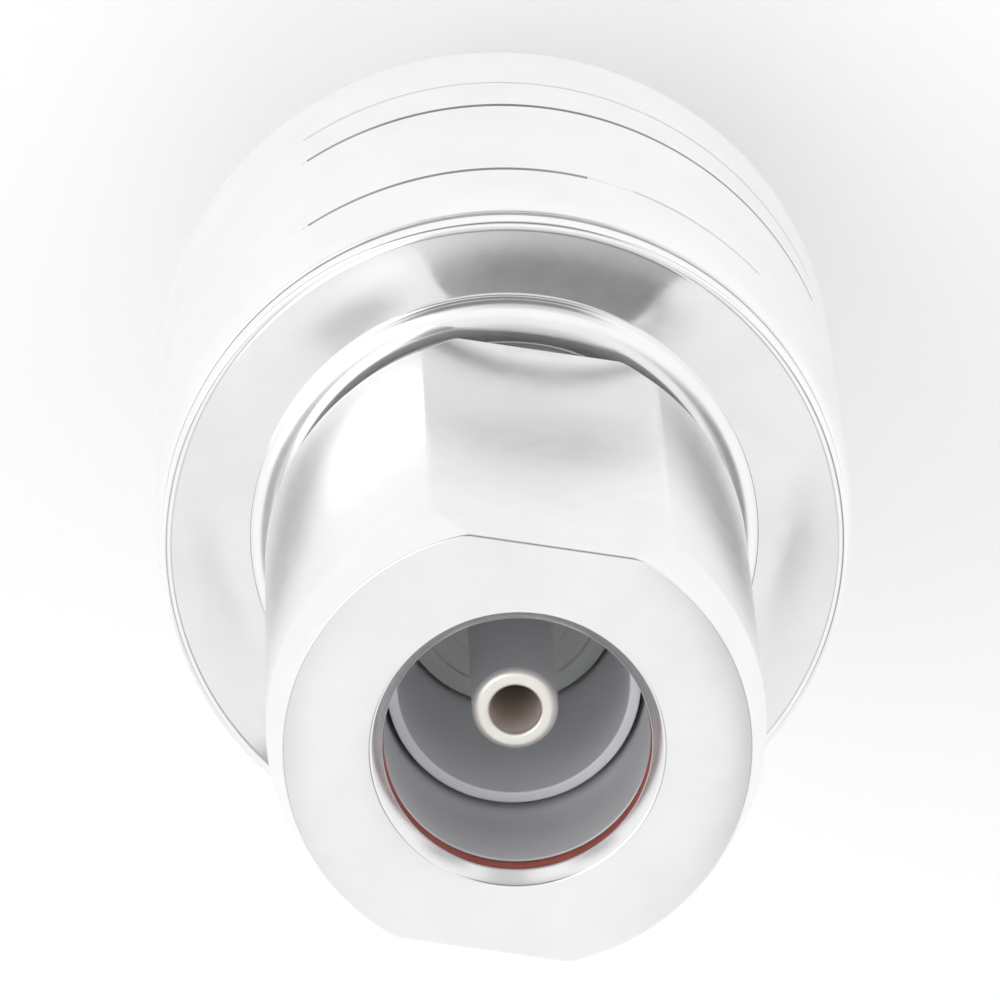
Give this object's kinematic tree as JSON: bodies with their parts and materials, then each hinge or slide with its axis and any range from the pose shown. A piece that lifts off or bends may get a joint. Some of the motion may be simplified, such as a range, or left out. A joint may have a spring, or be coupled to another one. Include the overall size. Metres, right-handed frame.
{
  "type": "coax lightning arrestor",
  "caption": "Round metal coaxial surge arrestor with a round coupling nut with two wrench flats over a socket contact at one end and a threaded bulkhead port at the other.",
  "frame": {"origin": "on the part's axis, at the rear port's open face, which the part stands on", "axes": "+Z along the axis from the rear port to the coupling nut's face; -Y is the side of the drum that the picture shows, where its band is; the gas tube's cap faces +Y"},
  "size_m": [0.0254, 0.0254, 0.0527],
  "materials": {
    "polished_nickel": "brass under bright polished nickel-silver plate",
    "satin_nickel": "brass under satin plate with fine turning marks",
    "plated_brass": "brass under plain nickel plate",
    "plated_steel": "zinc plate",
    "spring_steel": "hard spring temper, slightly dark",
    "gold_plate": "pale gold plate",
    "white_fluoropolymer": "matt white fluoropolymer",
    "red_silicone": "soft red silicone",
    "black_rubber": "matt black rubber",
    "white_ceramic": "unglazed white ceramic with plated ends"
  },
  "bodies": {
    "body": {"front_barrel": "polished_nickel", "nut_retaining_ring": "spring_steel", "front_insulator": "white_fluoropolymer", "socket_contact": "gold_plate", "front_seal_ring": "black_rubber", "drum_housing": "satin_nickel", "inner_conductor": "gold_plate", "gas_tube": "white_ceramic", "gas_tube_spring": "spring_steel", "gas_tube_cap": "plated_brass", "cap_seal_ring": "black_rubber", "ground_screw": "plated_steel", "ground_lock_washer": "spring_steel", "rear_insulator": "white_fluoropolymer", "rear_contact": "gold_plate", "rear_barrel": "satin_nickel", "rear_seal_ring": "black_rubber", "bulkhead_gasket": "black_rubber", "bulkhead_lock_washer": "plated_brass", "bulkhead_nut": "plated_brass"},
    "nut": {"coupling_nut": "polished_nickel", "mouth_gasket": "red_silicone"}
  },
  "joints": [
    {"name": "coupling_nut_spin", "type": "hinge", "parent": "body", "child": "nut", "pos_m": [0, 0, 0.0425], "axis": [0, 0, 1], "continuous": true}
  ]
}
